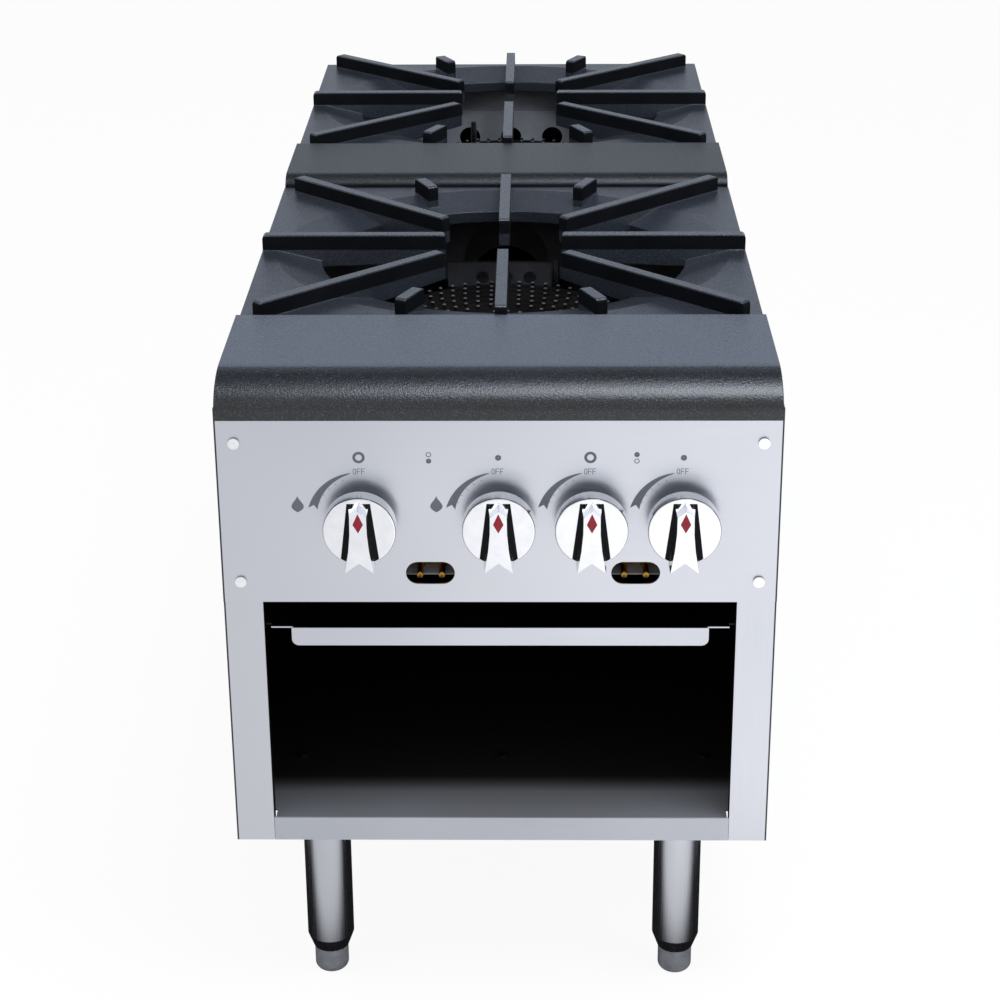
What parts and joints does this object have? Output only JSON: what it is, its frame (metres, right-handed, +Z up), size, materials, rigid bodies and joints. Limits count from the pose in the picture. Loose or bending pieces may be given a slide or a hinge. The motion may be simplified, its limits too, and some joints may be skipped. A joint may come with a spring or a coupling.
{
  "type": "stock pot range",
  "caption": "Low gas stock pot range with a front and a rear ring burner under cast-iron grates, control knobs, a sliding drip tray, an open cabinet and adjustable legs.",
  "frame": {"origin": "on the floor, at the middle of the floor area the whole range takes up", "axes": "+Z up, -Y out of the control panel towards the cook, +X to the cook's right"},
  "size_m": [0.455, 1.149, 0.5935],
  "materials": {
    "stainless_steel": "brushed stainless steel sheet",
    "cast_iron": "black cast iron, lightly textured",
    "raw_cast_iron": "bare grey cast iron",
    "chrome_plate": "polished chrome on zinc",
    "brass": "machined brass",
    "aluminised_steel": "aluminised steel sheet",
    "black_pipe": "black steel pipe",
    "plated_screw": "zinc-plated steel"
  },
  "bodies": {
    "range": {"left_side_panel": "stainless_steel", "right_side_panel": "stainless_steel", "back_panel": "stainless_steel", "bottom_shelf": "stainless_steel", "control_panel": "stainless_steel", "leg_channels": "aluminised_steel", "shelf_screws": "plated_screw", "control_panel_screws": "plated_screw", "leg_front_left": "stainless_steel", "leg_front_right": "stainless_steel", "leg_rear_left": "stainless_steel", "leg_rear_right": "stainless_steel", "front_baffle": "aluminised_steel", "rear_baffle": "aluminised_steel", "front_burner_bracket": "aluminised_steel", "rear_upper_wall": "aluminised_steel", "rear_lower_wall": "aluminised_steel", "front_burner_rails": "aluminised_steel", "rear_burner_rails": "aluminised_steel", "front_outer_burner": "raw_cast_iron", "front_inner_burner": "raw_cast_iron", "rear_outer_burner": "raw_cast_iron", "rear_inner_burner": "raw_cast_iron", "gas_manifold": "black_pipe", "gas_inlet_pipe": "black_pipe", "front_outer_valve": "brass", "front_inner_valve": "brass", "rear_outer_valve": "brass", "rear_inner_valve": "brass", "burner_orifices": "brass", "front_pilot_valve": "brass", "rear_pilot_valve": "brass", "pilot_tubes": "aluminised_steel", "pilot_burners": "plated_screw", "left_tray_rail": "stainless_steel", "right_tray_rail": "stainless_steel"},
    "front_grate": {"front_grate": "cast_iron"},
    "rear_grate": {"rear_grate": "cast_iron"},
    "drip_tray": {"drip_tray": "stainless_steel"},
    "front_outer_knob": {"front_outer_knob": "chrome_plate", "front_outer_valve_stem": "brass"},
    "front_inner_knob": {"front_inner_knob": "chrome_plate", "front_inner_valve_stem": "brass"},
    "rear_outer_knob": {"rear_outer_knob": "chrome_plate", "rear_outer_valve_stem": "brass"},
    "rear_inner_knob": {"rear_inner_knob": "chrome_plate", "rear_inner_valve_stem": "brass"},
    "front_outer_air_shutter": {"front_outer_air_shutter": "aluminised_steel"},
    "front_inner_air_shutter": {"front_inner_air_shutter": "aluminised_steel"},
    "rear_outer_air_shutter": {"rear_outer_air_shutter": "aluminised_steel"},
    "rear_inner_air_shutter": {"rear_inner_air_shutter": "aluminised_steel"},
    "front_pilot_left_screw": {"front_pilot_left_screw": "brass"},
    "front_pilot_right_screw": {"front_pilot_right_screw": "brass"},
    "rear_pilot_left_screw": {"rear_pilot_left_screw": "brass"},
    "rear_pilot_right_screw": {"rear_pilot_right_screw": "brass"},
    "foot_front_left": {"foot_front_left": "stainless_steel"},
    "foot_front_right": {"foot_front_right": "stainless_steel"},
    "foot_rear_left": {"foot_rear_left": "stainless_steel"},
    "foot_rear_right": {"foot_rear_right": "stainless_steel"}
  },
  "joints": [
    {"name": "front_grate_lift", "type": "slide", "parent": "range", "child": "front_grate", "axis": [0, 0, 1], "range_m": [0, 0.15]},
    {"name": "rear_grate_lift", "type": "slide", "parent": "range", "child": "rear_grate", "axis": [0, 0, 1], "range_m": [0, 0.15]},
    {"name": "drip_tray_slide", "type": "slide", "parent": "range", "child": "drip_tray", "axis": [0, -1, 0], "range_m": [0, 0.75]},
    {"name": "front_outer_knob_turn", "type": "hinge", "parent": "range", "child": "front_outer_knob", "pos_m": [-0.1115, -0.5365, 0.466], "axis": [0, -1, 0], "range_deg": [0, 90]},
    {"name": "front_inner_knob_turn", "type": "hinge", "parent": "range", "child": "front_inner_knob", "pos_m": [0, -0.5365, 0.466], "axis": [0, -1, 0], "range_deg": [0, 90]},
    {"name": "rear_outer_knob_turn", "type": "hinge", "parent": "range", "child": "rear_outer_knob", "pos_m": [0.0743, -0.5365, 0.466], "axis": [0, -1, 0], "range_deg": [0, 90]},
    {"name": "rear_inner_knob_turn", "type": "hinge", "parent": "range", "child": "rear_inner_knob", "pos_m": [0.1486, -0.5365, 0.466], "axis": [0, -1, 0], "range_deg": [0, 90]},
    {"name": "front_outer_air_shutter_turn", "type": "hinge", "parent": "range", "child": "front_outer_air_shutter", "pos_m": [-0.1115, -0.4485, 0.466], "axis": [0, -1, 0], "range_deg": [0, 90]},
    {"name": "front_inner_air_shutter_turn", "type": "hinge", "parent": "range", "child": "front_inner_air_shutter", "pos_m": [0, -0.4485, 0.466], "axis": [0, -1, 0], "range_deg": [0, 90]},
    {"name": "rear_outer_air_shutter_turn", "type": "hinge", "parent": "range", "child": "rear_outer_air_shutter", "pos_m": [0.0743, -0.4485, 0.466], "axis": [0, -1, 0], "range_deg": [0, 90]},
    {"name": "rear_inner_air_shutter_turn", "type": "hinge", "parent": "range", "child": "rear_inner_air_shutter", "pos_m": [0.1486, -0.4485, 0.466], "axis": [0, -1, 0], "range_deg": [0, 90]},
    {"name": "front_pilot_left_screw_turn", "type": "hinge", "parent": "range", "child": "front_pilot_left_screw", "pos_m": [-0.0655, -0.5285, 0.4105], "axis": [0, -1, 0], "range_deg": [0, 360]},
    {"name": "front_pilot_right_screw_turn", "type": "hinge", "parent": "range", "child": "front_pilot_right_screw", "pos_m": [-0.0475, -0.5285, 0.4105], "axis": [0, -1, 0], "range_deg": [0, 360]},
    {"name": "rear_pilot_left_screw_turn", "type": "hinge", "parent": "range", "child": "rear_pilot_left_screw", "pos_m": [0.1023, -0.5285, 0.4105], "axis": [0, -1, 0], "range_deg": [0, 360]},
    {"name": "rear_pilot_right_screw_turn", "type": "hinge", "parent": "range", "child": "rear_pilot_right_screw", "pos_m": [0.1203, -0.5285, 0.4105], "axis": [0, -1, 0], "range_deg": [0, 360]},
    {"name": "foot_front_left_height", "type": "slide", "parent": "range", "child": "foot_front_left", "axis": [0, 0, -1], "range_m": [0, 0.025]},
    {"name": "foot_front_right_height", "type": "slide", "parent": "range", "child": "foot_front_right", "axis": [0, 0, -1], "range_m": [0, 0.025]},
    {"name": "foot_rear_left_height", "type": "slide", "parent": "range", "child": "foot_rear_left", "axis": [0, 0, -1], "range_m": [0, 0.025]},
    {"name": "foot_rear_right_height", "type": "slide", "parent": "range", "child": "foot_rear_right", "axis": [0, 0, -1], "range_m": [0, 0.025]}
  ]
}
